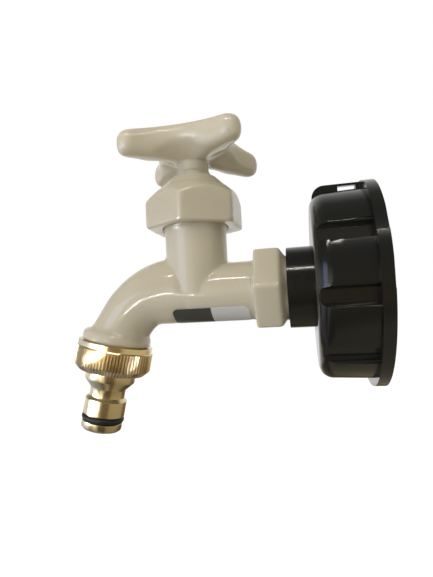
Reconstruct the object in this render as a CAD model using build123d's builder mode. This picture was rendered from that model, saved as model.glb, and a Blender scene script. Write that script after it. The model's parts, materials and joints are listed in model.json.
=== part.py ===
from build123d import *
import os
from math import cos, radians, sin

# Tap adapter for the coarse outlet thread of a bulk liquid container.
# A black screw cap with an integral threaded spigot carries an ivory nylon
# bib tap with a four arm handle, and a turned brass hose connector.
# Origin: centre of the cap's mouth. +X points out of the mouth along the
# cap's axis, +Z points up along the valve stem. Millimetres.

os.makedirs("parts", exist_ok=True)

# Clearances
thread_clearance = 0.05
slide_clearance = 0.2
face_clearance = 0.3

# Screw cap
cap_length = 22.8
cap_wall = 4.75
cap_draft = 0.55
cap_shoulder = 5.6
cap_front_wall = 3.0
flange_overhang = 3.3
flange_thickness = 3.9
flange_edge = 0.8
thread_root_radius = 30.25
thread_depth = 2.75
thread_pitch = 6.0
thread_lead_in = 0.5
thread_root_width = 4.6
thread_crest_width = 2.2
mouth_chamfer = 1.0

# Finger grooves round the cap, and the seal lug that stands between two of them
groove_count = 10
groove_angle = 25.8
groove_width = 6.0
groove_depth = 2.0
groove_edge = 0.9
groove_wall_lean = 0.8
lug_width = 4.0
lug_corner = 4.5
lug_front_gap = 1.2
lug_setback = 0.5
lug_window_length = 6.4
lug_window_height = 1.8
lug_window_end = 1.7
lug_bar = 0.9

# Ratchet steps on the flange
step_height = 0.5
step_length = 14.0
step_angles = (20.5, -7.0)

# Spigot on the front of the cap
spigot_radius = 15.75
spigot_length = 9.55
spigot_edge = 0.8
spigot_root = 1.2
spigot_thread_depth = 13.6
boss_radius = 16.2
boss_height = 3.4
water_hole_radius = 8.5

# Seals at the cap
gasket_thickness = 3.0
gasket_boss_gap = 3.35
inlet_washer_thickness = 2.0

# Tap inlet: male thread and hexagonal collar
tap_thread_radius = 12.6
collar_length = 12.0
collar_flats = 29.8
collar_corner_round = 1.2
collar_gap = 0.45
collar_seat_radius = 12.8
collar_cone = 4.1
collar_edge = 1.3

# Pipe, stem axis and neck
stem_distance = 68.9
pipe_radius = 11.76
neck_radius = 12.63
neck_thread_radius = 13.4
neck_thread_start = 26.2
neck_top = 35.0
pipe_bore_radius = 7.8
chamber_radius = 9.4
chamber_floor = 0.9
seat_height = 1.6
seat_hole_radius = 5.8
seat_outer_radius = 7.2
seat_duct_width = 13.0
seat_duct_height = 6.0
seat_duct_level = -4.6
partition = 2.8

# Spout: stations from the stem axis outwards, each with its place as a share of
# the outlet's distance and drop, its downward slope in degrees and its half
# height. The half width follows the pipe.
spout_route = (
    (0.03, -0.09, 0.0, 13.42),
    (0.27, -0.085, 6.0, 13.45),
    (0.515, -0.005, 18.0, 12.6),
    (0.685, 0.16, 37.0, 11.65),
    (0.805, 0.385, 53.0, 11.35),
)
spout_end_half = 12.3
spout_end_offset = 1.1
pipe_run_past_stem = 2.0

# Outlet: tilted axis, shoulder and male thread
outlet_distance = 36.65
outlet_drop = 18.77
outlet_tilt = 12.9
shoulder_radius = 14.2
shoulder_height = 4.8
shoulder_round = 2.2
shoulder_gap = 0.2
outlet_thread_length = 7.4

# Bonnet
bonnet_flats = 35.2
bonnet_turn = 27.7
bonnet_corner_round = 1.5
bonnet_bottom = 26.4
bonnet_foot_chamfer = 0.9
bonnet_cone_start = 37.2
bonnet_cone_top = 47.8
bonnet_cone_top_radius = 9.4
bonnet_brow = 4.0
bonnet_collar_radius = 7.4
bonnet_top = 49.4
bonnet_washer_thickness = 1.2
sleeve_bottom = 22.0
sleeve_radius = 9.2
gland_radius = 6.1
gland_floor = 44.5
gland_lip = 0.5
gland_flange_radius = 7.0
stem_seal_radius = 0.9

# Spindle, jumper and valve washer, with the valve shut
screw_radius = 6.0
screw_top = 37.0
stem_radius = 4.2
drive_side = 5.9
drive_start = 52.0
drive_top = 60.4
valve_travel = 5.0
valve_washer_thickness = 2.5
valve_washer_radius = 7.6
jumper_disc_radius = 8.2
jumper_disc_thickness = 2.0
jumper_stem_radius = 3.2
jumper_stem_length = 9.0
washer_screw_head_radius = 2.9
washer_screw_head_height = 1.2
washer_screw_radius = 1.4
washer_screw_length = 6.0

# Handle
handle_radius = 32.9
handle_tip_radius = 4.8
handle_web_reach = 16.6
handle_angle = 43.0
handle_arms = 4
handle_bottom = 54.3
handle_thickness = 12.3
handle_droop = 0.6
handle_crown = 3.4
handle_edge = 3.5
hollow_radius = 14.0
hollow_rise = 25.0
hollow_drop = 2.8
hollow_edge = 2.8
hub_radius = 6.5
handle_recess_radius = 4.6
handle_recess_depth = 2.6
handle_screw_head_radius = 3.6
handle_screw_head_height = 2.0
handle_screw_radius = 1.7
handle_screw_length = 9.0
handle_screw_hole_radius = 1.95

# Brass hose connector: distances along the outlet axis from its upper rim
nut_band_radius = 15.35
nut_band_length = 3.0
nut_radius = 15.8
nut_knurl_length = 7.0
nut_foot_radius = 13.5
nut_length = 12.1
step_radius = 10.4
step_end = 15.5
throat_radius = 7.3
throat_start = 19.0
throat_end = 22.5
barrel_radius = 8.55
barrel_start = 23.5
ring_groove_start = 30.0
ring_groove_width = 2.8
ring_groove_radius = 6.5
ring_section_radius = 1.14
tip_radius = 8.3
tip_end = 35.4
tip_chamfer = 0.9
connector_socket_depth = 9.6
connector_bore_radius = 5.0

# Label on the pipe
label_length = 30.2
label_height = 10.4
label_thickness = 0.12
label_lift = 0.02
label_angle = -60.0
label_corner = 2.0
label_start_gap = 2.5

# Places that follow from the sizes above
cap_radius = thread_root_radius + cap_wall
flange_radius = cap_radius + flange_overhang
thread_crest_radius = thread_root_radius - thread_depth
cap_floor = -(cap_length - cap_front_wall)
spigot_end = -(cap_length + spigot_length)
spigot_floor = spigot_end + spigot_thread_depth
boss_end = cap_floor + boss_height
thread_start = -thread_lead_in - thread_crest_width / 2
thread_finish = cap_floor + gasket_thickness + face_clearance + thread_root_width / 2
spigot_bore_radius = tap_thread_radius + thread_clearance
collar_right = spigot_end - collar_gap
collar_left = collar_right - collar_length
inlet_end = spigot_floor - inlet_washer_thickness
stem_x = -stem_distance
seat_top = chamber_floor + seat_height
jumper_bottom = seat_top + valve_washer_thickness
spindle_bottom = jumper_bottom + jumper_disc_thickness
washer_top = neck_top + bonnet_washer_thickness
stem_axis = Axis((stem_x, 0, 0), (0, 0, 1))
tilt = radians(outlet_tilt)
outlet_origin = Vector(stem_x - outlet_distance, 0, -outlet_drop)
outlet_direction = Vector(-sin(tilt), 0, -cos(tilt))
outlet_axis = Axis(outlet_origin, outlet_direction)
outlet_plane = Plane(outlet_origin, x_dir=(0, 1, 0), z_dir=outlet_direction)
outlet_section = Plane(outlet_origin, x_dir=outlet_direction, z_dir=(0, 1, 0))
stem_section = Plane((stem_x, 0, 0), x_dir=(1, 0, 0), z_dir=(0, -1, 0))


def stem_plane(height):
    """Horizontal plane centred on the stem axis."""
    return Plane((stem_x, 0, height))


def facing_point(radius, angle):
    """Point in a sketch across the cap. Zero degrees faces -Y, ninety is up."""
    return (-radius * cos(radians(angle)), radius * sin(radians(angle)))


def spout_planes():
    """Section planes along the spout with their half heights, pipe to outlet."""
    stations = []
    for distance, drop, slope, half in spout_route:
        turn = radians(slope)
        across = Plane(
            (stem_x - distance * outlet_distance, 0, -drop * outlet_drop),
            x_dir=(0, 1, 0),
            z_dir=(-cos(turn), 0, -sin(turn)),
        )
        stations.append((across, half))
    ending = outlet_plane.offset(-shoulder_height)
    inward = Vector(cos(tilt), 0, -sin(tilt)) * spout_end_offset
    ending = Plane(ending.origin + inward, x_dir=ending.x_dir, z_dir=ending.z_dir)
    stations.append((ending, spout_end_half))
    return stations


# Screw cap with its spigot, one moulding
groove_floor = -groove_depth
groove_half = groove_width / 2
lug_angle = groove_angle + 1.5 * 360 / groove_count
lug_up = Vector(0, -cos(radians(lug_angle)), sin(radians(lug_angle)))
lug_plane = Plane((0, 0, 0), x_dir=(1, 0, 0), z_dir=Vector(1, 0, 0).cross(lug_up))
lug_front = -(cap_length - lug_front_gap)
window_right = -(flange_thickness + lug_window_end)
lug_top = flange_radius - lug_setback
window_top = lug_top - lug_bar

with BuildSketch() as groove:
    mouth = groove_half + groove_edge
    for side in (1, -1):
        with BuildLine():
            brim = Line((groove_edge * 2, side * mouth), (0, side * mouth))
            lip = RadiusArc(brim @ 1, (-groove_edge, side * groove_half), side * groove_edge)
            Polyline(
                lip @ 1,
                (groove_floor, side * (groove_half - groove_wall_lean)),
                (groove_floor, 0),
                (groove_edge * 2, 0),
                brim @ 0,
            )
        make_face()

with BuildPart() as ibc_cap:
    with BuildSketch(Plane.XZ) as cap_section:
        with BuildLine():
            Polyline(
                (0, thread_root_radius + mouth_chamfer),
                (0, flange_radius),
                (-flange_thickness, flange_radius),
                (-flange_thickness, cap_radius + cap_draft),
                (-cap_length, cap_radius),
                (-cap_length, spigot_radius),
                (spigot_end, spigot_radius),
                (spigot_end, spigot_bore_radius),
                (spigot_floor, spigot_bore_radius),
                (spigot_floor, water_hole_radius),
                (boss_end, water_hole_radius),
                (boss_end, boss_radius),
                (cap_floor, boss_radius),
                (cap_floor, thread_root_radius),
                (-mouth_chamfer, thread_root_radius),
                close=True,
            )
        make_face()
        corners = cap_section.vertices()
        fillet(corners.sort_by_distance((-cap_length, cap_radius))[0], cap_shoulder)
        fillet(corners.sort_by_distance((-cap_length, spigot_radius))[0], spigot_root)
        fillet(corners.sort_by_distance((spigot_end, spigot_radius))[0], spigot_edge)
        rims = corners.filter_by_position(Axis.Y, flange_radius - 0.01, flange_radius + 0.01)
        fillet(rims, flange_edge)
    revolve(axis=Axis.X)

    # seal lug with its window, flush with the flange
    with BuildSketch(lug_plane) as lug_section:
        with BuildLine():
            Polyline(
                (-flange_thickness, cap_radius - groove_depth),
                (-flange_thickness, lug_top),
                (lug_front, lug_top),
                (lug_front, cap_radius - cap_shoulder),
                (-cap_length + cap_shoulder, cap_radius - groove_depth),
                close=True,
            )
        make_face()
        fillet(lug_section.vertices().sort_by_distance((lug_front, lug_top))[0], lug_corner)
    extrude(amount=lug_width / 2, both=True)
    with BuildSketch(lug_plane):
        with Locations((window_right - lug_window_length / 2, window_top - lug_window_height / 2)):
            Rectangle(lug_window_length, lug_window_height)
    extrude(amount=lug_width, both=True, mode=Mode.SUBTRACT)

    # finger grooves, closed by the flange, left out on both sides of the lug
    with BuildSketch(Plane.YZ.offset(-flange_thickness)):
        for number in range(groove_count):
            angle = groove_angle - number * 360 / groove_count
            if abs((angle - lug_angle + 180) % 360 - 180) < 200 / groove_count:
                continue
            with PolarLocations(cap_radius, 1, start_angle=180 - angle):
                add(groove.sketch)
    extrude(amount=-cap_length, mode=Mode.SUBTRACT)

    # ratchet steps on the flange, the same on the far side
    with BuildSketch(Plane.YZ.offset(-flange_thickness)):
        for angle in step_angles:
            for side in (0, 180):
                with BuildLine():
                    Polyline(
                        facing_point(flange_radius + step_height, angle + side),
                        facing_point(flange_radius - step_height, angle + side),
                        facing_point(flange_radius, angle + side + step_length),
                        facing_point(flange_radius + step_height, angle + side + step_length),
                        close=True,
                    )
                make_face()
    extrude(amount=flange_thickness, mode=Mode.SUBTRACT)

    # coarse thread ridge inside the skirt, trimmed to a true crest
    with BuildLine():
        ridge_path = Helix(
            pitch=thread_pitch,
            height=thread_start - thread_finish,
            radius=thread_root_radius,
            center=(thread_start, 0, 0),
            direction=(-1, 0, 0),
        )
    start = ridge_path @ 0
    outward = Vector(0, start.Y, start.Z).normalized()
    with BuildSketch(Plane(start, x_dir=outward, z_dir=ridge_path % 0)) as ridge:
        with BuildLine():
            sunk = 0.5
            ridge_height = thread_root_radius - thread_crest_radius + sunk
            Polyline(
                (sunk, -thread_root_width / 2),
                (0, -thread_root_width / 2),
                (-ridge_height, -thread_crest_width / 2),
                (-ridge_height, thread_crest_width / 2),
                (0, thread_root_width / 2),
                (sunk, thread_root_width / 2),
                close=True,
            )
        make_face()
    sweep(path=ridge_path, is_frenet=True)
    with BuildSketch(Plane.YZ):
        Circle(thread_crest_radius)
    extrude(amount=boss_end, mode=Mode.SUBTRACT)
    with BuildSketch(Plane.YZ):
        Circle(flange_radius)
    extrude(amount=thread_root_width, mode=Mode.SUBTRACT)
ibc_cap.part.label = "ibc_cap"
export_step(ibc_cap.part, "parts/ibc_cap.step")

# Flat gasket that seals on the container's outlet
with BuildPart() as cap_gasket:
    with BuildSketch(Plane.YZ.offset(cap_floor)):
        Circle(thread_root_radius - slide_clearance)
        Circle(boss_radius + gasket_boss_gap, mode=Mode.SUBTRACT)
    extrude(amount=gasket_thickness)
cap_gasket.part.label = "cap_gasket"
export_step(cap_gasket.part, "parts/cap_gasket.step")

# Flat washer at the bottom of the spigot's thread
with BuildPart() as inlet_washer:
    with BuildSketch(Plane.YZ.offset(inlet_end)):
        Circle(spigot_bore_radius - slide_clearance)
        Circle(water_hole_radius, mode=Mode.SUBTRACT)
    extrude(amount=inlet_washer_thickness)
inlet_washer.part.label = "inlet_washer"
export_step(inlet_washer.part, "parts/inlet_washer.step")

# Tap body: inlet thread, collar, pipe, neck, valve seat and spout, one moulding
with BuildPart() as tap_body:
    with BuildSketch(Plane.YZ.offset(collar_left)) as collar_outline:
        RegularPolygon(collar_flats / 2, 6, major_radius=False)
        fillet(collar_outline.vertices(), collar_corner_round)
    extrude(amount=collar_length)
    collar_corner = collar_flats / 2 / cos(radians(30))
    with BuildSketch(Plane.XZ) as collar_profile:
        with BuildLine():
            Polyline(
                (collar_left, 0),
                (collar_left, collar_corner),
                (collar_right - collar_cone, collar_corner),
                (collar_right, collar_seat_radius),
                (collar_right, 0),
                close=True,
            )
        make_face()
        outer = collar_profile.vertices().group_by(Axis.Y)[-1]
        fillet(outer, collar_edge)
    revolve(axis=Axis.X, mode=Mode.INTERSECT)
    with BuildSketch(Plane.YZ.offset(collar_right)):
        Circle(tap_thread_radius)
    extrude(amount=inlet_end - collar_right)
    with BuildSketch(Plane.YZ.offset(collar_left + collar_edge)):
        Circle(pipe_radius)
    extrude(amount=-(collar_left + collar_edge - stem_x + pipe_run_past_stem))
    with BuildSketch(stem_plane(0)):
        Circle(neck_radius)
    extrude(amount=neck_thread_start)
    with BuildSketch(stem_plane(neck_thread_start)):
        Circle(neck_thread_radius)
    extrude(amount=neck_top - neck_thread_start)
    for across, half in spout_planes():
        with BuildSketch(across):
            Ellipse(pipe_radius if half != spout_end_half else spout_end_half, half)
    loft()
    with BuildSketch(outlet_section) as outlet_profile:
        with BuildLine():
            Polyline(
                (-shoulder_height, 0),
                (-shoulder_height, shoulder_radius),
                (-shoulder_gap, shoulder_radius),
                (-shoulder_gap, tap_thread_radius),
                (outlet_thread_length, tap_thread_radius),
                (outlet_thread_length, 0),
                close=True,
            )
        make_face()
        rim = outlet_profile.vertices().sort_by_distance((-shoulder_height, shoulder_radius))[0]
        fillet(rim, shoulder_round)
    revolve(axis=outlet_axis)

    # waterways: inlet bore, duct under the seat, valve chamber and spout bore
    with BuildSketch(Plane.YZ.offset(inlet_end)):
        Circle(pipe_bore_radius)
    extrude(amount=-(inlet_end - stem_x - chamber_radius - partition), mode=Mode.SUBTRACT)
    with BuildSketch(Plane.YZ.offset(stem_x + chamber_radius + partition)):
        with Locations((0, seat_duct_level)):
            SlotOverall(seat_duct_width, seat_duct_height)
    extrude(amount=-(chamber_radius + partition + seat_hole_radius), mode=Mode.SUBTRACT)
    with BuildSketch(stem_plane(chamber_floor)):
        Circle(chamber_radius)
        Circle(seat_outer_radius, mode=Mode.SUBTRACT)
    extrude(amount=seat_height, mode=Mode.SUBTRACT)
    with BuildSketch(stem_plane(seat_top)):
        Circle(chamber_radius)
    extrude(amount=neck_top - seat_top, mode=Mode.SUBTRACT)
    with BuildSketch(stem_plane(seat_duct_level)):
        Circle(seat_hole_radius)
    extrude(amount=seat_top - seat_duct_level, mode=Mode.SUBTRACT)
    for across, half in spout_planes()[1:]:
        with BuildSketch(across):
            Circle(pipe_bore_radius)
    loft(mode=Mode.SUBTRACT)
    with BuildSketch(outlet_plane.offset(-shoulder_height - 1)):
        Circle(pipe_bore_radius)
    extrude(amount=shoulder_height + 1 + outlet_thread_length, mode=Mode.SUBTRACT)
tap_body.part.label = "tap_body"
export_step(tap_body.part, "parts/tap_body.step")

# Label wrapped on the lower front of the pipe
label_right = collar_left - label_start_gap
label_up = Vector(0, -cos(radians(label_angle)), sin(radians(label_angle)))
with BuildPart() as label_sticker:
    with BuildSketch(Plane.YZ.offset(label_right)):
        Circle(pipe_radius + label_lift + label_thickness)
        Circle(pipe_radius + label_lift, mode=Mode.SUBTRACT)
    extrude(amount=-label_length)
    with BuildSketch(Plane((label_right - label_length / 2, 0, 0), x_dir=(1, 0, 0), z_dir=label_up)):
        RectangleRounded(label_length, label_height, label_corner)
    extrude(amount=pipe_radius * 2, mode=Mode.INTERSECT)
label_sticker.part.label = "label_sticker"
export_step(label_sticker.part, "parts/label_sticker.step")

# Bonnet: hexagonal nut with a coned top and an inner sleeve for the spindle
bonnet_corner = bonnet_flats / 2 / cos(radians(30))
screw_bore_top = screw_top + valve_travel + face_clearance
with BuildPart() as bonnet:
    with BuildSketch(stem_plane(bonnet_bottom)) as hexagon:
        RegularPolygon(bonnet_flats / 2, 6, major_radius=False, rotation=bonnet_turn)
        fillet(hexagon.vertices(), bonnet_corner_round)
    extrude(amount=bonnet_top - bonnet_bottom)
    with BuildSketch(stem_section) as bonnet_profile:
        with BuildLine():
            Polyline(
                (0, bonnet_bottom),
                (bonnet_corner - bonnet_foot_chamfer, bonnet_bottom),
                (bonnet_corner, bonnet_bottom + bonnet_foot_chamfer),
                (bonnet_corner, bonnet_cone_start),
                (bonnet_cone_top_radius, bonnet_cone_top),
                (bonnet_collar_radius, bonnet_cone_top),
                (bonnet_collar_radius, bonnet_top),
                (0, bonnet_top),
                close=True,
            )
        make_face()
        brow = bonnet_profile.vertices().sort_by_distance((bonnet_corner, bonnet_cone_start))[0]
        fillet(brow, bonnet_brow)
    revolve(axis=stem_axis, mode=Mode.INTERSECT)
    with BuildSketch(stem_plane(bonnet_bottom)):
        Circle(neck_thread_radius + thread_clearance)
    extrude(amount=washer_top - bonnet_bottom, mode=Mode.SUBTRACT)
    with BuildSketch(stem_plane(sleeve_bottom)):
        Circle(sleeve_radius)
    extrude(amount=washer_top - sleeve_bottom)
    with BuildSketch(stem_plane(sleeve_bottom)):
        Circle(screw_radius + thread_clearance)
    extrude(amount=screw_bore_top - sleeve_bottom, mode=Mode.SUBTRACT)
    with BuildSketch(stem_plane(screw_bore_top)):
        Circle(stem_radius + thread_clearance)
    extrude(amount=bonnet_top - screw_bore_top, mode=Mode.SUBTRACT)
    with BuildSketch(stem_plane(gland_floor)):
        Circle(gland_radius)
    extrude(amount=bonnet_top - gland_floor, mode=Mode.SUBTRACT)
bonnet.part.label = "bonnet"
export_step(bonnet.part, "parts/bonnet.step")

# Flat washer between the neck's rim and the bonnet
with BuildPart() as bonnet_washer:
    with BuildSketch(stem_plane(neck_top)):
        Circle(neck_thread_radius - slide_clearance)
        Circle(chamber_radius, mode=Mode.SUBTRACT)
    extrude(amount=bonnet_washer_thickness)
bonnet_washer.part.label = "bonnet_washer"
export_step(bonnet_washer.part, "parts/bonnet_washer.step")

# Sealing ring round the stem, in the bonnet's gland
seal_ring_radius = stem_radius + thread_clearance + stem_seal_radius
with BuildPart() as stem_seal:
    with BuildSketch(stem_section):
        with Locations((seal_ring_radius, gland_floor + stem_seal_radius)):
            Circle(stem_seal_radius)
    revolve(axis=stem_axis)
stem_seal.part.label = "stem_seal"
export_step(stem_seal.part, "parts/stem_seal.step")

# Gland ring that keeps the sealing ring down
gland_ring_bottom = gland_floor + 2 * stem_seal_radius + thread_clearance
with BuildPart() as gland_ring:
    with BuildSketch(stem_section):
        with BuildLine():
            Polyline(
                (stem_radius + thread_clearance, gland_ring_bottom),
                (gland_radius - thread_clearance, gland_ring_bottom),
                (gland_radius - thread_clearance, bonnet_top),
                (gland_flange_radius, bonnet_top),
                (gland_flange_radius, bonnet_top + gland_lip),
                (stem_radius + thread_clearance, bonnet_top + gland_lip),
                close=True,
            )
        make_face()
    revolve(axis=stem_axis)
gland_ring.part.label = "gland_ring"
export_step(gland_ring.part, "parts/gland_ring.step")

# Spindle: coarse screw, plain stem and square drive
jumper_socket_depth = jumper_stem_length + 1.0
with BuildPart() as spindle:
    with BuildSketch(stem_plane(spindle_bottom)):
        Circle(screw_radius)
    extrude(amount=screw_top - spindle_bottom)
    with BuildSketch(stem_plane(screw_top)):
        Circle(stem_radius)
    extrude(amount=drive_start - screw_top)
    with BuildSketch(stem_plane(drive_start)):
        Rectangle(drive_side, drive_side, rotation=handle_angle)
    extrude(amount=drive_top - drive_start)
    with Locations(Location((stem_x, 0, spindle_bottom), (180, 0, 0))):
        Hole(jumper_stem_radius + thread_clearance, depth=jumper_socket_depth)
    with Locations((stem_x, 0, drive_top)):
        Hole(handle_screw_radius + thread_clearance, depth=handle_screw_length)
spindle.part.label = "spindle"
export_step(spindle.part, "parts/spindle.step")

# Jumper: the plate that carries the valve washer, loose in the spindle's socket
with BuildPart() as jumper:
    with BuildSketch(stem_plane(jumper_bottom)):
        Circle(jumper_disc_radius)
    extrude(amount=jumper_disc_thickness)
    with BuildSketch(stem_plane(spindle_bottom)):
        Circle(jumper_stem_radius)
    extrude(amount=jumper_stem_length)
    chamfer(jumper.edges().filter_by(GeomType.CIRCLE).sort_by(Axis.Z)[-1], 0.6)
    with Locations(Location((stem_x, 0, jumper_bottom), (180, 0, 0))):
        Hole(washer_screw_radius + thread_clearance, depth=washer_screw_length)
jumper.part.label = "jumper"
export_step(jumper.part, "parts/jumper.step")

# Rubber valve washer
with BuildPart() as valve_washer:
    with BuildSketch(stem_plane(seat_top)):
        Circle(valve_washer_radius)
        Circle(washer_screw_radius + thread_clearance, mode=Mode.SUBTRACT)
    extrude(amount=valve_washer_thickness)
valve_washer.part.label = "valve_washer"
export_step(valve_washer.part, "parts/valve_washer.step")

# Screw that holds the valve washer on the jumper
with BuildPart() as washer_screw:
    with BuildSketch(stem_plane(seat_top - washer_screw_head_height)):
        Circle(washer_screw_head_radius)
    extrude(amount=washer_screw_head_height)
    with BuildSketch(stem_plane(seat_top)):
        Circle(washer_screw_radius)
    extrude(amount=valve_washer_thickness + washer_screw_length - 0.5)
    with BuildSketch(stem_plane(seat_top - washer_screw_head_height)):
        Rectangle(washer_screw_head_radius * 3, 0.8)
    extrude(amount=0.6, mode=Mode.SUBTRACT)
washer_screw.part.label = "washer_screw"
export_step(washer_screw.part, "parts/washer_screw.step")

# Four arm handle: round tips joined by webs, with a domed top and a keel under
# each arm, on a hub
handle_top = handle_bottom + handle_thickness
hub_bottom = bonnet_top + gland_lip + face_clearance
recess_floor = handle_top - handle_recess_depth
tip_centre = handle_radius - handle_tip_radius
arm_step = 360 / handle_arms
web_inner = handle_web_reach - handle_tip_radius
web_lean = tip_centre * cos(radians(arm_step / 2)) - web_inner
web_centre = (tip_centre**2 - web_inner**2) / (2 * web_lean)


def round_stem(radius, angle):
    """Point in a sketch across the stem, at an angle from +X."""
    return Vector(radius * cos(radians(angle)), radius * sin(radians(angle)))


def tip_end_point(angle, web_angle):
    """Where the web on one side of an arm runs into that arm's round tip."""
    middle = round_stem(tip_centre, angle)
    towards_web = (round_stem(web_centre, web_angle) - middle).normalized()
    return middle + towards_web * handle_tip_radius


with BuildPart() as handle:
    with BuildSketch(stem_plane(handle_bottom - handle_droop)):
        with BuildLine():
            for number in range(handle_arms):
                angle = handle_angle + number * arm_step
                web_angle = angle + arm_step / 2
                tip_in = tip_end_point(angle, angle - arm_step / 2)
                tip_out = tip_end_point(angle, web_angle)
                next_tip = tip_end_point(angle + arm_step, web_angle)
                ThreePointArc(tip_in, round_stem(handle_radius, angle), tip_out)
                ThreePointArc(tip_out, round_stem(handle_web_reach, web_angle), next_tip)
        make_face()
    extrude(amount=handle_thickness + handle_droop)
    with BuildSketch(stem_section):
        with BuildLine():
            top = ThreePointArc(
                (-handle_radius, handle_top - handle_crown),
                (0, handle_top),
                (handle_radius, handle_top - handle_crown),
            )
            bottom = ThreePointArc(
                (-handle_radius, handle_bottom - handle_droop),
                (0, handle_bottom),
                (handle_radius, handle_bottom - handle_droop),
            )
            Line(top @ 0, bottom @ 0)
            Line(top @ 1, bottom @ 1)
        make_face()
        with Locations((-handle_radius, handle_bottom)):
            Rectangle(handle_radius * 2, handle_thickness * 4, mode=Mode.SUBTRACT)
    revolve(axis=stem_axis, mode=Mode.INTERSECT)
    walls = handle.faces().filter_by(lambda f: f.geom_type == GeomType.CYLINDER)
    rims = handle.edges().filter_by(lambda e: e not in walls.edges().filter_by(Axis.Z))
    fillet(rims, handle_edge)

    # hollows under the webs, each a round channel that rises outwards
    rise = radians(hollow_rise)
    for number in range(handle_arms):
        outward = round_stem(1, handle_angle + (number + 0.5) * arm_step)
        along = outward * cos(rise) + Vector(0, 0, sin(rise))
        over = Vector(0, 0, cos(rise)) - outward * sin(rise)
        channel = Vector(stem_x, 0, handle_bottom - hollow_drop) - over * hollow_radius
        with Locations(Plane(channel, z_dir=along).location):
            Cylinder(
                hollow_radius,
                handle_radius * 2,
                align=(Align.CENTER, Align.CENTER, Align.MIN),
                mode=Mode.SUBTRACT,
            )
    hollow_rims = handle.edges().filter_by(
        lambda e: abs((e.center() - Vector(stem_x, 0, e.center().Z)).length - handle_web_reach) < 1
        and handle_bottom + 1 < e.center().Z < handle_top - handle_crown - handle_edge
    )
    fillet(hollow_rims, hollow_edge)
    with BuildSketch(stem_plane(hub_bottom)):
        Circle(hub_radius)
    extrude(amount=handle_bottom - hub_bottom + handle_edge)
    with BuildSketch(stem_plane(recess_floor)):
        Circle(handle_recess_radius)
    extrude(amount=handle_recess_depth, mode=Mode.SUBTRACT)
    with BuildSketch(stem_plane(hub_bottom)):
        Circle(stem_radius + thread_clearance)
    extrude(amount=drive_start - hub_bottom, mode=Mode.SUBTRACT)
    socket_side = drive_side + thread_clearance
    with BuildSketch(stem_plane(drive_start)):
        Rectangle(socket_side, socket_side, rotation=handle_angle)
    extrude(amount=drive_top - drive_start + slide_clearance, mode=Mode.SUBTRACT)
    with BuildSketch(stem_plane(drive_top)):
        Circle(handle_screw_hole_radius)
    extrude(amount=recess_floor - drive_top, mode=Mode.SUBTRACT)
handle.part.label = "handle"
export_step(handle.part, "parts/handle.step")

# Screw that holds the handle on the spindle
with BuildPart() as handle_screw:
    with BuildSketch(stem_plane(recess_floor)):
        Circle(handle_screw_head_radius)
    extrude(amount=handle_screw_head_height)
    fillet(handle_screw.edges().sort_by(Axis.Z)[-1], handle_screw_head_height * 0.4)
    with BuildSketch(stem_plane(recess_floor)):
        Circle(handle_screw_radius)
    extrude(amount=-(recess_floor - drive_top + handle_screw_length - 0.5))
    with BuildSketch(stem_plane(recess_floor + handle_screw_head_height)):
        Rectangle(handle_screw_head_radius, 0.7)
        Rectangle(0.7, handle_screw_head_radius)
    extrude(amount=-1.1, mode=Mode.SUBTRACT)
handle_screw.part.label = "handle_screw"
export_step(handle_screw.part, "parts/handle_screw.step")

# Brass hose connector, turned from one bar
ring_groove_end = ring_groove_start + ring_groove_width
with BuildPart() as hose_connector:
    with BuildSketch(outlet_section):
        with BuildLine():
            Polyline(
                (0, tap_thread_radius + thread_clearance + 1.0),
                (0, nut_band_radius - 0.5),
                (0.5, nut_band_radius),
                (nut_band_length, nut_band_radius),
                (nut_band_length, nut_radius),
                (nut_band_length + nut_knurl_length, nut_radius),
                (nut_length, nut_foot_radius),
                (nut_length, step_radius),
                (step_end, step_radius),
                (throat_start, throat_radius),
                (throat_end, throat_radius),
                (barrel_start, barrel_radius),
                (ring_groove_start, barrel_radius),
                (ring_groove_start, ring_groove_radius),
                (ring_groove_end, ring_groove_radius),
                (ring_groove_end, tip_radius),
                (tip_end, tip_radius),
                (tip_end + tip_chamfer, tip_radius - tip_chamfer),
                (tip_end + tip_chamfer, connector_bore_radius),
                (connector_socket_depth, connector_bore_radius),
                (connector_socket_depth, tap_thread_radius + thread_clearance),
                (1.0, tap_thread_radius + thread_clearance),
                close=True,
            )
        make_face()
    revolve(axis=outlet_axis)
hose_connector.part.label = "hose_connector"
export_step(hose_connector.part, "parts/hose_connector.step")

# Flat washer inside the connector's nut
with BuildPart() as hose_washer:
    with BuildSketch(outlet_plane.offset(outlet_thread_length)):
        Circle(tap_thread_radius - slide_clearance)
        Circle(pipe_bore_radius, mode=Mode.SUBTRACT)
    extrude(amount=connector_socket_depth - outlet_thread_length)
hose_washer.part.label = "hose_washer"
export_step(hose_washer.part, "parts/hose_washer.step")

# Sealing ring near the connector's tip
with BuildPart() as connector_o_ring:
    with BuildSketch(outlet_section):
        ring_middle = ring_groove_start + ring_groove_width / 2
        with Locations((ring_middle, ring_groove_radius + ring_section_radius)):
            Circle(ring_section_radius - thread_clearance / 2)
    revolve(axis=outlet_axis)
connector_o_ring.part.label = "connector_o_ring"
export_step(connector_o_ring.part, "parts/connector_o_ring.step")
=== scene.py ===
import bpy
import json
from math import atan2, cos, hypot, pi, radians, sin
from mathutils import Matrix, Vector


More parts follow.
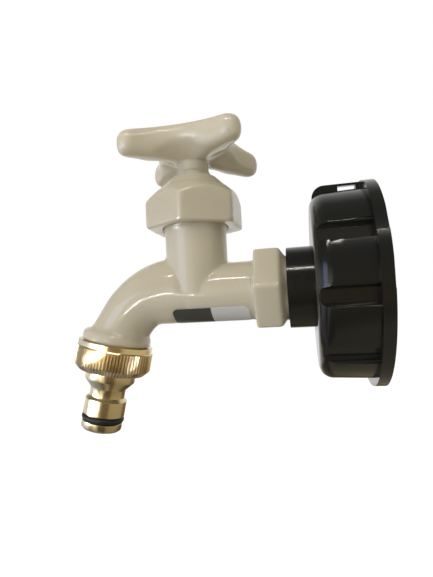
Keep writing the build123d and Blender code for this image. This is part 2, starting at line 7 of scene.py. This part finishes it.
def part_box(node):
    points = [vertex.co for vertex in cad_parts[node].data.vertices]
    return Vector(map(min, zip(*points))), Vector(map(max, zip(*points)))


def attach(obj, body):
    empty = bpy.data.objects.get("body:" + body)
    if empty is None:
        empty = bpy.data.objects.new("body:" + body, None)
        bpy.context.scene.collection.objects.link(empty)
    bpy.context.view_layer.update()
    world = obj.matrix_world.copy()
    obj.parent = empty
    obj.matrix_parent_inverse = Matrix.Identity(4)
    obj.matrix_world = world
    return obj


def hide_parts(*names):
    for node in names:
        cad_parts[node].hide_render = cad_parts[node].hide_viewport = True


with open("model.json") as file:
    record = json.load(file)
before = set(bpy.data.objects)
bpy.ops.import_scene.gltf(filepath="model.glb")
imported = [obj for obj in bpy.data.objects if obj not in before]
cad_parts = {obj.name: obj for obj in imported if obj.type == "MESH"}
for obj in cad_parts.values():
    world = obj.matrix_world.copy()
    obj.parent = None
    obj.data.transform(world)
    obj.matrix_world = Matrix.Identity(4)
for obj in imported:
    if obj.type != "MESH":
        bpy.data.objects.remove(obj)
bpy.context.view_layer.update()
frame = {"nodes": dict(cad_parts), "record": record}
nodes = frame["nodes"]
mm = 0.001
print("frame loaded")

# where the part's own axes are, from the CAD
stemLow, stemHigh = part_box("spindle")
stemX = (stemLow.x + stemHigh.x) / 2
barrel = next(mount for mount in frame["record"]["mounts"] if mount["name"] == "hose_barrel")
outletAxis = -Vector(barrel["axis"])
outletTilt = atan2(outletAxis.x, outletAxis.z)
rimToBarrel = 26.75      # mm from the brass connector's rim to the middle of its barrel
connectorRim = Vector(barrel["pos_m"]) + outletAxis * rimToBarrel * mm


def hexColour(text):
    channels = [int(text[i:i + 2], 16) / 255 for i in (1, 3, 5)]
    linear = [c / 12.92 if c <= 0.04045 else ((c + 0.055) / 1.055) ** 2.4 for c in channels]
    return (*linear, 1.0)


# an input is a value, or a socket that is linked to it
def addNode(tree, kind, settings=None, inputs=None):
    node = tree.nodes.new(kind)
    for key, value in (settings or {}).items():
        setattr(node, key, value)
    for key, value in (inputs or {}).items():
        if isinstance(value, bpy.types.NodeSocket):
            tree.links.new(value, node.inputs[key])
        else:
            node.inputs[key].default_value = value
    return node


def startMaterial(name, look):
    material = bpy.data.materials.new(name)
    material.use_nodes = True
    tree = material.node_tree
    tree.nodes.clear()
    shader = addNode(tree, "ShaderNodeBsdfPrincipled", inputs=look)
    addNode(tree, "ShaderNodeOutputMaterial", inputs={"Surface": shader.outputs[0]})
    place = addNode(tree, "ShaderNodeTexCoord").outputs["Object"]
    return material, tree, shader, place


def separate(tree, vector):
    return addNode(tree, "ShaderNodeSeparateXYZ", inputs={"Vector": vector}).outputs


def calculate(tree, operation, first, second):
    return addNode(tree, "ShaderNodeMath", {"operation": operation}, {0: first, 1: second}).outputs[0]


# runs from 0 to 1, or between the given ends, while the value runs from one limit to the other
def slide(tree, value, limits, ends=(0, 1)):
    return addNode(tree, "ShaderNodeMapRange", inputs={
        "Value": value, "From Min": limits[0], "From Max": limits[1],
        "To Min": ends[0], "To Max": ends[1],
    }).outputs[0]


# grains and clouds of about the given size in mm
def noise(tree, place, size, detail):
    return addNode(tree, "ShaderNodeTexNoise", inputs={
        "Vector": place, "Scale": 1 / (size * mm), "Detail": detail,
    }).outputs[0]


def blend(tree, factor, first, second):
    return addNode(tree, "ShaderNodeMix", {"data_type": "RGBA"},
                   {"Factor": factor, 6: first, 7: second}).outputs[2]


# makes the surface uneven by up to the given depth in mm
def roughen(tree, shader, height, strength, depth):
    bump = addNode(tree, "ShaderNodeBump", inputs={
        "Height": height, "Strength": strength, "Distance": depth * mm,
    })
    tree.links.new(bump.outputs[0], shader.inputs["Normal"])


# moulded natural nylon: warm ivory, a little light goes in and comes out again,
# a glossy skin with a very shallow grain, and faint clouds in its tone
def mouldedNylon():
    nylon = {"colour": "#DAD3BE", "shade": "#D5CCB3", "paintedLight": "#E2DAC4", "cloud": 18.0,
             "grain": 0.9, "grainStrength": 0.05, "grainDepth": 0.05}
    # painted light: heights between which the nylon turns to its paler painted tone
    paintedLightAbove = (52.0 * mm, 58.0 * mm)
    material, tree, shader, place = startMaterial("mouldedNylon", {
        "Roughness": 0.1, "IOR": 1.53,
        "Subsurface Weight": 0.5, "Subsurface Scale": 0.006,
        "Subsurface Radius": (1.0, 0.85, 0.6),
    })
    tone = blend(tree, noise(tree, place, nylon["cloud"], 2.0),
                 hexColour(nylon["colour"]), hexColour(nylon["shade"]))
    # painted light: the handle, which lies highest, is painted paler than the rest of the nylon
    paintedLightShare = slide(tree, separate(tree, place)[2], paintedLightAbove)
    paler = blend(tree, paintedLightShare, tone, hexColour(nylon["paintedLight"]))
    tree.links.new(paler, shader.inputs["Base Color"])
    roughen(tree, shader, noise(tree, place, nylon["grain"], 3.0),
            nylon["grainStrength"], nylon["grainDepth"])
    return material


# moulded black polypropylene: near black and glossy, with a faint grain
def blackPolypropylene():
    plastic = {"colour": "#1B1C1A", "grain": 0.7, "grainStrength": 0.06, "grainDepth": 0.06}
    material, tree, shader, place = startMaterial("blackPolypropylene", {
        "Base Color": hexColour(plastic["colour"]), "Roughness": 0.15, "IOR": 1.49,
    })
    roughen(tree, shader, noise(tree, place, plastic["grain"], 2.0),
            plastic["grainStrength"], plastic["grainDepth"])
    return material


# turned brass: pale yellow metal with a satin shine, shallow rings left by the tool, and
# painted shade at the bottom of the knurl's valleys
def turnedBrass():
    brass = {
        "colour": "#E2D2AA",
        "paintedShade": "#B4A27E",
        "ringSpacing": 2.2,
        "ringStrength": 0.1,
        "ringDepth": 0.02,
        "knurlRows": (2.6, 9.8),    # down from the rim
        "knurlSkin": 14.9,          # radius outside of which the nut has its knurl
        "paintedShadeWithin": 15.25,        # radius up to which a valley has its full painted shade
        "unshadedFrom": 15.6,         # radius from which a ridge has no painted shade
    }
    waveRadians = 20     # a wave texture at scale 1 runs through these over one unit
    material, tree, shader, place = startMaterial("turnedBrass", {
        "Metallic": 1.0, "Roughness": 0.23,
    })
    fromRim = addNode(tree, "ShaderNodeVectorMath", {"operation": "SUBTRACT"},
                      {0: place, 1: connectorRim}).outputs[0]
    turned = addNode(tree, "ShaderNodeMapping", inputs={
        "Vector": fromRim, "Rotation": (0, -outletTilt, 0),
    }).outputs[0]
    x, y, z = separate(tree, turned)
    across = addNode(tree, "ShaderNodeCombineXYZ", inputs={"X": x, "Y": y}).outputs[0]
    radius = addNode(tree, "ShaderNodeVectorMath", {"operation": "LENGTH"},
                     {0: across}).outputs["Value"]
    top, bottom = (-row * mm for row in brass["knurlRows"])
    # painted shade: the knurl's valleys are painted darker, fading out towards the ridges
    paintedShade = slide(tree, radius, (brass["unshadedFrom"] * mm, brass["paintedShadeWithin"] * mm))
    for operation, value, limit in (("GREATER_THAN", radius, brass["knurlSkin"] * mm),
                                    ("LESS_THAN", z, top), ("GREATER_THAN", z, bottom)):
        paintedShade = calculate(tree, "MULTIPLY", paintedShade, calculate(tree, operation, value, limit))
    tone = blend(tree, paintedShade, hexColour(brass["colour"]), hexColour(brass["paintedShade"]))
    tree.links.new(tone, shader.inputs["Base Color"])
    rings = addNode(tree, "ShaderNodeTexWave", {"bands_direction": "Z"}, {
        "Vector": turned, "Distortion": 0.4,
        "Scale": 2 * pi / (waveRadians * brass["ringSpacing"] * mm),
    })
    roughen(tree, shader, rings.outputs[1], brass["ringStrength"], brass["ringDepth"])
    return material


# nitrile rubber: black, matt, moulded
def nitrileRubber():
    return startMaterial("nitrileRubber", {
        "Base Color": hexColour("#171717"), "Roughness": 0.55, "IOR": 1.52,
    })[0]


# film label: smooth plastic film with a soft gloss, one half dark and one half white
def labelFilm():
    label = {"dark": "#474B45", "white": "#D9DBD8", "whiteFrom": -62.0}
    material, tree, shader, place = startMaterial("labelFilm", {"Roughness": 0.3, "IOR": 1.46})
    side = calculate(tree, "GREATER_THAN", separate(tree, place)[0], label["whiteFrom"] * mm)
    tone = blend(tree, side, hexColour(label["dark"]), hexColour(label["white"]))
    tree.links.new(tone, shader.inputs["Base Color"])
    return material


# stainless steel: grey, with the soft shine of a drawn and rolled screw
def stainlessSteel():
    return startMaterial("stainlessSteel", {
        "Base Color": hexColour("#C4C4C2"), "Metallic": 1.0, "Roughness": 0.3,
    })[0]


slotMaterials = {
    "ivory_nylon": mouldedNylon(),
    "black_plastic": blackPolypropylene(),
    "brass": turnedBrass(),
    "gasket_rubber": nitrileRubber(),
    "label_film": labelFilm(),
    "screw_steel": stainlessSteel(),
}
slotMaterials["seal_rubber"] = slotMaterials["gasket_rubber"]
slotOf = {entry["node"]: entry["material_slot"] for entry in frame["record"]["subparts"]}
bodyOf = {
    member: body
    for body, members in frame["record"]["behaviour"]["bodies"].items()
    for member in members
}


def paint(piece, material):
    piece.data.materials.clear()
    piece.data.materials.append(material)


def selectOnly(*pieces):
    bpy.ops.object.select_all(action="DESELECT")
    for piece in pieces:
        piece.select_set(True)
    bpy.context.view_layer.objects.active = pieces[0]


cadCopy = {"mergeWithin": 0.002, "smoothAngle": 32}    # mm and degrees


# a merged, smooth copy of a CAD node that is shown in its place
def dressedCopy(nodeName):
    selectOnly(nodes[nodeName])
    bpy.ops.object.duplicate()
    piece = bpy.context.object
    for key in list(piece.keys()):
        del piece[key]
    piece.parent = None
    piece.name = piece.data.name = nodeName + "_dressed"
    bpy.ops.object.mode_set(mode="EDIT")
    bpy.ops.mesh.select_all(action="SELECT")
    bpy.ops.mesh.customdata_custom_splitnormals_clear()
    bpy.ops.mesh.remove_doubles(threshold=cadCopy["mergeWithin"] * mm)
    bpy.ops.object.mode_set(mode="OBJECT")
    bpy.ops.object.shade_smooth_by_angle(angle=radians(cadCopy["smoothAngle"]))
    paint(piece, slotMaterials[slotOf[nodeName]])
    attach(piece, bodyOf[nodeName])
    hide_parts(nodeName)
    return piece


for nodeName, node in nodes.items():
    paint(node, slotMaterials[slotOf[nodeName]])
for nodeName in ("ibc_cap", "gland_ring", "connector_o_ring", "spindle", "cap_gasket"):
    dressedCopy(nodeName)
print("materials on the CAD nodes")


# each corner of a turned outline becomes two points, at most a third of its edges away,
# as a turned edge is never quite sharp
def brokenEdges(outline, width):
    points = []
    for number, corner in enumerate(outline):
        here = Vector(corner)
        for near in (Vector(outline[number - 1]), Vector(outline[(number + 1) % len(outline)])):
            step = min(width, (near - here).length / 3)
            points.append(here + (near - here).normalized() * step)
    return points


# a closed ring round the Z axis; each point of the outline is a place down from the origin
# and a radius, in mm
def spunPiece(name, outline, sides):
    mergeWithin = 0.001
    bpy.ops.object.select_all(action="DESELECT")
    start = outline[0]
    bpy.ops.mesh.primitive_circle_add(
        vertices=sides, radius=start.y * mm, location=(0, 0, -start.x * mm))
    piece = bpy.context.object
    piece.name = piece.data.name = name
    bpy.ops.object.transform_apply(location=True, rotation=True, scale=True)
    bpy.ops.object.mode_set(mode="EDIT")
    bpy.ops.mesh.select_all(action="SELECT")
    last = start
    for point in outline[1:] + [start]:
        bpy.ops.mesh.extrude_region_move(
            TRANSFORM_OT_translate={"value": (0, 0, (last.x - point.x) * mm)})
        wider = point.y / last.y
        bpy.ops.transform.resize(value=(wider, wider, 1), center_override=(0, 0, 0))
        last = point
    bpy.ops.mesh.select_all(action="SELECT")
    bpy.ops.mesh.remove_doubles(threshold=mergeWithin * mm)
    bpy.ops.mesh.normals_make_consistent(inside=False)
    bpy.ops.object.mode_set(mode="OBJECT")
    return piece


# leaves the piece in edit mode, with the wanted vertices selected
def selectVertices(piece, wanted):
    selectOnly(piece)
    bpy.ops.object.mode_set(mode="EDIT")
    bpy.ops.mesh.select_mode(type="VERT")
    bpy.ops.mesh.select_all(action="DESELECT")
    bpy.ops.object.mode_set(mode="OBJECT")
    for vertex in piece.data.vertices:
        vertex.select = wanted(vertex.co)
    bpy.ops.object.mode_set(mode="EDIT")


def widen(piece, wanted, wider, centreX):
    selectVertices(piece, wanted)
    bpy.ops.transform.resize(value=(wider, wider, 1), center_override=(centreX, 0, 0))
    bpy.ops.object.mode_set(mode="OBJECT")


# a fine and even mesh in place of the CAD's long triangles
def evenMesh(piece, grid):
    selectOnly(piece)
    remesh = piece.modifiers.new("evenMesh", "REMESH")
    remesh.mode = "VOXEL"
    remesh.voxel_size = grid * mm
    bpy.ops.object.modifier_apply(modifier=remesh.name)
    bpy.ops.object.shade_smooth()


# rounds the edges that are wanted, as a mould leaves them
def relax(piece, wanted, rounds):
    selectVertices(piece, wanted)
    bpy.ops.mesh.vertices_smooth(factor=0.5, repeat=rounds)
    bpy.ops.object.mode_set(mode="OBJECT")


# distances in mm from the axis of the stem and from that of the inlet
def fromStem(co):
    return hypot(co.x - stemX, co.y) / mm


def fromInlet(co):
    return hypot(co.y, co.z) / mm


# the tap's body: the collar is a hexagon whose end tapers to its seat, and the neck
# narrows where it runs down into the pipe, so that their joint comes to a point
body = {
    "grid": 0.55,
    "rounds": 9,
    "softBeyond": 11,               # from the inlet's axis, which leaves its bore as it is
    "spoutSoftFrom": 15,            # from the stem towards the outlet
    "collarEnds": (-44.85, -32.75),
    "collarMargin": 0.1,
    "collarSides": 6,
    "collarCorner": 17.45,
    "collarTaper": 2.3,
    "collarSeat": 0.76,             # share of the corners' radius that the taper leaves
    "collarHole": 10.8,
    "clearedBeyond": 12.7,          # the CAD's own collar goes, down to this radius
    "pipeRadius": 11.76,
    "pipeHalf": 11.81,
    "spoutHalf": 13.6,
    "spoutFrom": 1,                 # from the stem towards the outlet
    "skin": 1.005,
    "neckRadius": 12.63,
    "neckReach": 13.03,
    "jointHeights": (-0.7, 13.0),
}
collarStart, collarEnd = body["collarEnds"]
collarLength = collarEnd - collarStart
jointBottom, jointTop = body["jointHeights"]


def onCollar(co):
    between = collarStart - body["collarMargin"] < co.x / mm < collarEnd
    return between and fromInlet(co) > body["clearedBeyond"]


# the part of the neck that stands out from pipe and spout
def inJoint(co):
    onSpout = co.x < stemX - body["spoutFrom"] * mm
    half = (body["spoutHalf"] if onSpout else body["pipeHalf"]) * mm
    outside = (co.y / (body["pipeRadius"] * mm)) ** 2 + (co.z / half) ** 2 > body["skin"]
    return outside and jointBottom < co.z / mm < jointTop and fromStem(co) < body["neckReach"]


tapBody = dressedCopy("tap_body")
selectVertices(tapBody, onCollar)
bpy.ops.mesh.delete(type="VERT")
bpy.ops.object.mode_set(mode="OBJECT")
collar = spunPiece("collar", [Vector(point) for point in (
    (0, body["collarCorner"]),
    (collarLength - body["collarTaper"], body["collarCorner"]),
    (collarLength, body["collarCorner"] * body["collarSeat"]),
    (collarLength, body["collarHole"]),
    (0, body["collarHole"]),
)], body["collarSides"])
collar.rotation_euler = (0, -pi / 2, 0)
collar.location = (collarStart * mm, 0, 0)
selectOnly(tapBody, collar)
bpy.ops.object.join()
evenMesh(tapBody, body["grid"])
for vertex in tapBody.data.vertices:
    if inJoint(vertex.co):
        rise = max(0, vertex.co.z / mm / jointTop)
        widest = body["pipeRadius"] + (body["neckRadius"] - body["pipeRadius"]) * rise
        closer = min(1, widest / fromStem(vertex.co))
        vertex.co.x = stemX + (vertex.co.x - stemX) * closer
        vertex.co.y *= closer
relax(tapBody, lambda co: fromInlet(co) > body["softBeyond"]
      or co.x < stemX - body["spoutSoftFrom"] * mm, body["rounds"])

# the bonnet: soft edges but for its bores, and full corners. Its even mesh is a little rough
# in the bores, so they and the ledge between them are kept clear of the spindle that turns
# and rises there. Radii are from the stem's axis
nut = {
    "grid": 0.45,
    "rounds": 12,
    "softBeyond": 8.2,
    "cornersBeyond": 14.5,
    "cornersWider": 1.02,
    "boresWithin": 7,
    "boresWider": 1.04,
    "ledgeHeights": (41.4, 43),
    "ledgeLift": 0.5,
}
ledgeLow, ledgeHigh = nut["ledgeHeights"]
bonnet = dressedCopy("bonnet")
evenMesh(bonnet, nut["grid"])
widen(bonnet, lambda co: fromStem(co) > nut["cornersBeyond"], nut["cornersWider"], stemX)
relax(bonnet, lambda co: fromStem(co) > nut["softBeyond"], nut["rounds"])
widen(bonnet, lambda co: fromStem(co) < nut["boresWithin"], nut["boresWider"], stemX)
selectVertices(bonnet, lambda co: fromStem(co) < nut["boresWithin"]
               and ledgeLow < co.z / mm < ledgeHigh)
bpy.ops.transform.translate(value=(0, 0, nut["ledgeLift"] * mm))
bpy.ops.object.mode_set(mode="OBJECT")

# the handle: soft edges but for its socket, arms that droop a little towards their tips, and
# a top that lies a little higher, but not above the CAD's
grip = {
    "grid": 0.45,
    "rounds": 60,
    "softBeyond": 7.5,
    "bottom": 54.3,
    "thickness": 12.3,
    "reach": 32.9,
    "lift": 0.45,
    "droop": 0.9,
    "highest": 66.5,
}
handle = dressedCopy("handle")
evenMesh(handle, grip["grid"])
for vertex in handle.data.vertices:
    height = min(1, max(0, (vertex.co.z / mm - grip["bottom"]) / grip["thickness"]))
    out = fromStem(vertex.co) / grip["reach"]
    risen = vertex.co.z + (grip["lift"] * height - grip["droop"] * out ** 2) * mm
    vertex.co.z = min(risen, grip["highest"] * mm)
relax(handle, lambda co: fromStem(co) > grip["softBeyond"], grip["rounds"])
print("nylon pieces softened")

# the brass connector. Where two numbers stand, they are a place down from the rim and a
# radius; the others say what they are, and all but the counts are in mm
connector = {
    "band": (2.3, 15.35),
    "bandStep": 0.25,
    "knurl": (9.6, 15.8),
    "foot": (12.1, 13.5),
    "step": (15.5, 10.4),
    "throat": (19.0, 22.5, 7.3),        # start, end, radius
    "barrel": (23.5, 30.0, 8.55),       # start, end, radius
    "groove": (32.8, 6.5),
    "tip": (35.4, 36.3, 8.3, 7.4),      # end, foot, radius, the foot's radius
    "bore": (9.6, 5.0),
    "socket": (1.0, 12.65),
    "edgeBreak": 0.14,
    "ridges": 76,
    "sidesOfRidge": 4,
    "valleySides": (2, 3),              # which of a ridge's sides go inwards
    "valleyRows": (2.5, 10.2),          # down from the rim
    "valleysBeyond": 15.0,
    "valleyDepth": 0.5,
    "smoothAngle": 25,                  # degrees
}
bandEnd, bandRadius = connector["band"]
knurlEnd, knurlRadius = connector["knurl"]
footEnd, footRadius = connector["foot"]
stepEnd, stepRadius = connector["step"]
throatStart, throatEnd, throatRadius = connector["throat"]
barrelStart, barrelEnd, barrelRadius = connector["barrel"]
grooveEnd, grooveRadius = connector["groove"]
tipEnd, tipFoot, tipRadius, tipFootRadius = connector["tip"]
boreStart, boreRadius = connector["bore"]
socketStart, socketRadius = connector["socket"]
sides = connector["ridges"] * connector["sidesOfRidge"]
brassConnector = spunPiece("brassConnector", brokenEdges([
    (0, bandRadius), (bandEnd, bandRadius),
    (bandEnd + connector["bandStep"], knurlRadius), (knurlEnd, knurlRadius),
    (footEnd, footRadius), (footEnd, stepRadius), (stepEnd, stepRadius),
    (throatStart, throatRadius), (throatEnd, throatRadius),
    (barrelStart, barrelRadius), (barrelEnd, barrelRadius),
    (barrelEnd, grooveRadius), (grooveEnd, grooveRadius),
    (grooveEnd, tipRadius), (tipEnd, tipRadius),
    (tipFoot, tipFootRadius), (tipFoot, boreRadius),
    (boreStart, boreRadius), (boreStart, socketRadius),
    (socketStart, socketRadius), (0, socketRadius + socketStart),
], connector["edgeBreak"]), sides)


# the knurl's valleys lie between its ridges, round the nut
def inValley(co):
    side = round(atan2(co.y, co.x) / (2 * pi) * sides) % connector["sidesOfRidge"]
    outside = hypot(co.x, co.y) > connector["valleysBeyond"] * mm
    top, bottom = connector["valleyRows"]
    return side in connector["valleySides"] and outside and top < -co.z / mm < bottom


widen(brassConnector, inValley, 1 - connector["valleyDepth"] / knurlRadius, 0)
brassConnector.rotation_euler = (0, outletTilt, 0)
brassConnector.location = connectorRim
selectOnly(brassConnector)
bpy.ops.object.transform_apply(location=True, rotation=True, scale=True)
bpy.ops.object.shade_smooth_by_angle(angle=radians(connector["smoothAngle"]))
paint(brassConnector, slotMaterials["brass"])
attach(brassConnector, bodyOf["hose_connector"])
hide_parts("hose_connector")
print("hose connector turned and knurled")

# the stage: pale floor, soft lamps, white surroundings, with lengths in metres
stage = {
    "floorHeight": -0.125,
    "floorSize": 8.0,
    "floorLit": "#C8C8C8",
    "floorShadowed": "#979797",
    "floorGlow": 0.88,
    "floorWhite": (0.25, 0.6),          # how far behind the part mirrors show it white
    "floorNear": (0.1, 0.35),           # how far from the connector its mirrored shade ends
    "floorNearLevel": 0.4,
    "room": "#FFFAEE",
    "ambient": 0.48,
    "mirroredRoom": 0.16,
    "mirroredBackdrop": 0.8,
    "backdropFrom": (0.3, 0.85),        # the backward part of the direction
    "sidesBelow": (0.3, 0.12),          # the upward part of the direction
    # what shiny surfaces mirror on the viewer's side, by the sideways part of the direction,
    # from left to right: window, wall, lit wall, viewer, far wall
    "mirroredSides": (
        (-1.0, "#DCE6FF"), (-0.87, "#DCE6FF"), (-0.8, "#8F7A5A"), (-0.55, "#9A8462"),
        (-0.48, "#FFF6E4"), (-0.14, "#FFF6E4"), (-0.05, "#7C7265"), (0.12, "#7C7265"),
        (0.2, "#8A7858"), (0.6, "#8A7858"), (0.75, "#D8C8A8"), (1.0, "#E4D6B8"),
    ),
}


# the mirrored sides as a colour ramp over the sideways part of a direction
def sidesRamp(tree, sideways):
    ramp = addNode(tree, "ShaderNodeValToRGB", inputs={"Fac": slide(tree, sideways, (-1, 1))})
    stops = ramp.color_ramp.elements
    while len(stops) < len(stage["mirroredSides"]):
        stops.new(0.5)
    for stop, (place, colour) in zip(stops, stage["mirroredSides"]):
        stop.position = (place + 1) / 2
        stop.color = hexColour(colour)
    return ramp.outputs[0]


# how far a ray is mirrored, and how far it sees the white surroundings: the camera's rays
# do, and so do mirrored ones that go behind the part
def sortRays(tree, behind):
    rays = addNode(tree, "ShaderNodeLightPath").outputs
    mirrored = calculate(tree, "MAXIMUM", rays["Is Glossy Ray"], rays["Is Transmission Ray"])
    backdrop = calculate(tree, "MULTIPLY", mirrored, behind)
    return mirrored, calculate(tree, "MAXIMUM", rays["Is Camera Ray"], backdrop)


def mixShaders(tree, factor, first, second):
    return addNode(tree, "ShaderNodeMixShader", inputs={0: factor, 1: first, 2: second}).outputs[0]


# pale floor: seen as white with a soft shadow, and mirrored as the room in front of the part
def paleFloor():
    material = bpy.data.materials.new("paleFloor")
    material.use_nodes = True
    tree = material.node_tree
    tree.nodes.clear()
    place = addNode(tree, "ShaderNodeTexCoord").outputs["Object"]
    mirrored, seen = sortRays(tree, slide(tree, separate(tree, place)[1], stage["floorWhite"]))
    fromConnector = addNode(tree, "ShaderNodeVectorMath", {"operation": "SUBTRACT"},
                            {0: place, 1: (barrel["pos_m"][0], 0, 0)}).outputs[0]
    heading = addNode(tree, "ShaderNodeVectorMath", {"operation": "NORMALIZE"},
                      {0: fromConnector}).outputs[0]
    distance = addNode(tree, "ShaderNodeVectorMath", {"operation": "LENGTH"},
                       {0: fromConnector}).outputs["Value"]
    front = addNode(tree, "ShaderNodeEmission", inputs={
        "Color": sidesRamp(tree, separate(tree, heading)[0]),
        "Strength": slide(tree, distance, stage["floorNear"], (stage["floorNearLevel"], 1)),
    })
    lit = addNode(tree, "ShaderNodeBsdfDiffuse", inputs={"Color": hexColour(stage["floorLit"])})
    shadowed = addNode(tree, "ShaderNodeBsdfDiffuse",
                       inputs={"Color": hexColour(stage["floorShadowed"])})
    glow = addNode(tree, "ShaderNodeEmission", inputs={"Strength": stage["floorGlow"]})
    lifted = addNode(tree, "ShaderNodeAddShader",
                     inputs={0: shadowed.outputs[0], 1: glow.outputs[0]})
    plain = mixShaders(tree, mirrored, lit.outputs[0], front.outputs[0])
    addNode(tree, "ShaderNodeOutputMaterial",
            inputs={"Surface": mixShaders(tree, seen, plain, lifted.outputs[0])})
    return material


bpy.ops.mesh.primitive_plane_add(size=stage["floorSize"], location=(0, 0, stage["floorHeight"]))
floor = bpy.context.object
floor.name = "floor"
paint(floor, paleFloor())

# the room is white behind the part and, in reflections, dim on the viewer's side
world = bpy.data.worlds.new("studio")
bpy.context.scene.world = world
world.use_nodes = True
tree = world.node_tree
tree.nodes.clear()
sideways, backwards, upwards = separate(
    tree, addNode(tree, "ShaderNodeTexCoord").outputs["Generated"])
mirrored, seen = sortRays(
    tree, slide(tree, backwards, stage["backdropFrom"], (0, stage["mirroredBackdrop"])))
even = addNode(tree, "ShaderNodeBackground", inputs={
    "Color": hexColour(stage["room"]),
    "Strength": slide(tree, mirrored, (0, 1), (stage["ambient"], stage["mirroredRoom"])),
})
walls = addNode(tree, "ShaderNodeBackground", inputs={"Color": sidesRamp(tree, sideways)})
white = addNode(tree, "ShaderNodeBackground", inputs={"Color": (1, 1, 1, 1)})
lowMirrored = calculate(tree, "MULTIPLY", mirrored, slide(tree, upwards, stage["sidesBelow"]))
room = mixShaders(tree, lowMirrored, even.outputs[0], walls.outputs[0])
addNode(tree, "ShaderNodeOutputWorld",
        inputs={"Surface": mixShaders(tree, seen, room, white.outputs[0])})

# a lamp that doesn't shine isn't mirrored, and one that doesn't light is only mirrored
lampsAim = Vector((-0.06, 0, 0))
lamps = [
    {"name": "windowLeft", "place": (-0.62, -0.55, 0.06), "size": (0.42, 0.42),
     "power": 1.5, "colour": "#C4D4FF", "shines": True, "lights": True},
    {"name": "softFront", "place": (-0.5, -0.92, 0.32), "size": (0.9, 0.8),
     "power": 3.7, "colour": "#FFF6EA", "shines": False, "lights": True},
    {"name": "softBack", "place": (0.3, 1.0, 0.45), "size": (0.9, 0.8),
     "power": 1.6, "colour": "#FFF8EE", "shines": False, "lights": True},
    {"name": "ceilingTube", "place": (0.05, -0.62, 0.74), "size": (1.0, 0.014),
     "power": 4.0, "colour": "#FFFAF0", "shines": True, "lights": False},
    {"name": "lowTube", "place": (-0.5, -0.45, -0.105), "size": (0.72, 0.007),
     "power": 2.4, "colour": "#FFFFFF", "shines": True, "lights": False},
]
for lamp in lamps:
    bpy.ops.object.light_add(type="AREA", location=lamp["place"])
    light = bpy.context.object
    light.name = lamp["name"]
    light.data.shape = "RECTANGLE"
    light.data.size, light.data.size_y = lamp["size"]
    light.data.energy = lamp["power"]
    light.data.color = hexColour(lamp["colour"])[:3]
    light.visible_glossy = lamp["shines"]
    light.visible_diffuse = lamp["lights"]
    light.rotation_euler = (lampsAim - light.location).to_track_quat("-Z", "Y").to_euler()
print("stage set")

# the camera, at the place the photograph was taken from: mm, degrees and pixels
shot = {
    "place": (-26.74, -171.13, -12.67),
    "yaw": -11.42,
    "pitch": 4.65,
    "roll": -2.71,
    "focalPixels": 430.0,
    "widthPixels": 433,
    "sensor": 36.0,
    "nearest": 10.0,
}
yaw, pitch, roll = (radians(shot[key]) for key in ("yaw", "pitch", "roll"))
forward = Vector((sin(yaw) * cos(pitch), cos(yaw) * cos(pitch), sin(pitch)))
level = Vector((cos(yaw), -sin(yaw), 0))
upright = level.cross(forward)
right = cos(roll) * level + sin(roll) * upright
up = -sin(roll) * level + cos(roll) * upright
bpy.ops.object.camera_add(location=Vector(shot["place"]) * mm)
camera = bpy.context.object
camera.name = "photoCamera"
camera.rotation_euler = Matrix((right, up, -forward)).transposed().to_euler()
camera.data.sensor_fit = "HORIZONTAL"
camera.data.sensor_width = shot["sensor"]
camera.data.lens = shot["sensor"] * shot["focalPixels"] / shot["widthPixels"]
camera.data.clip_start = shot["nearest"] * mm
bpy.context.scene.camera = camera
bpy.context.scene.view_settings.view_transform = "Standard"
print("camera placed")
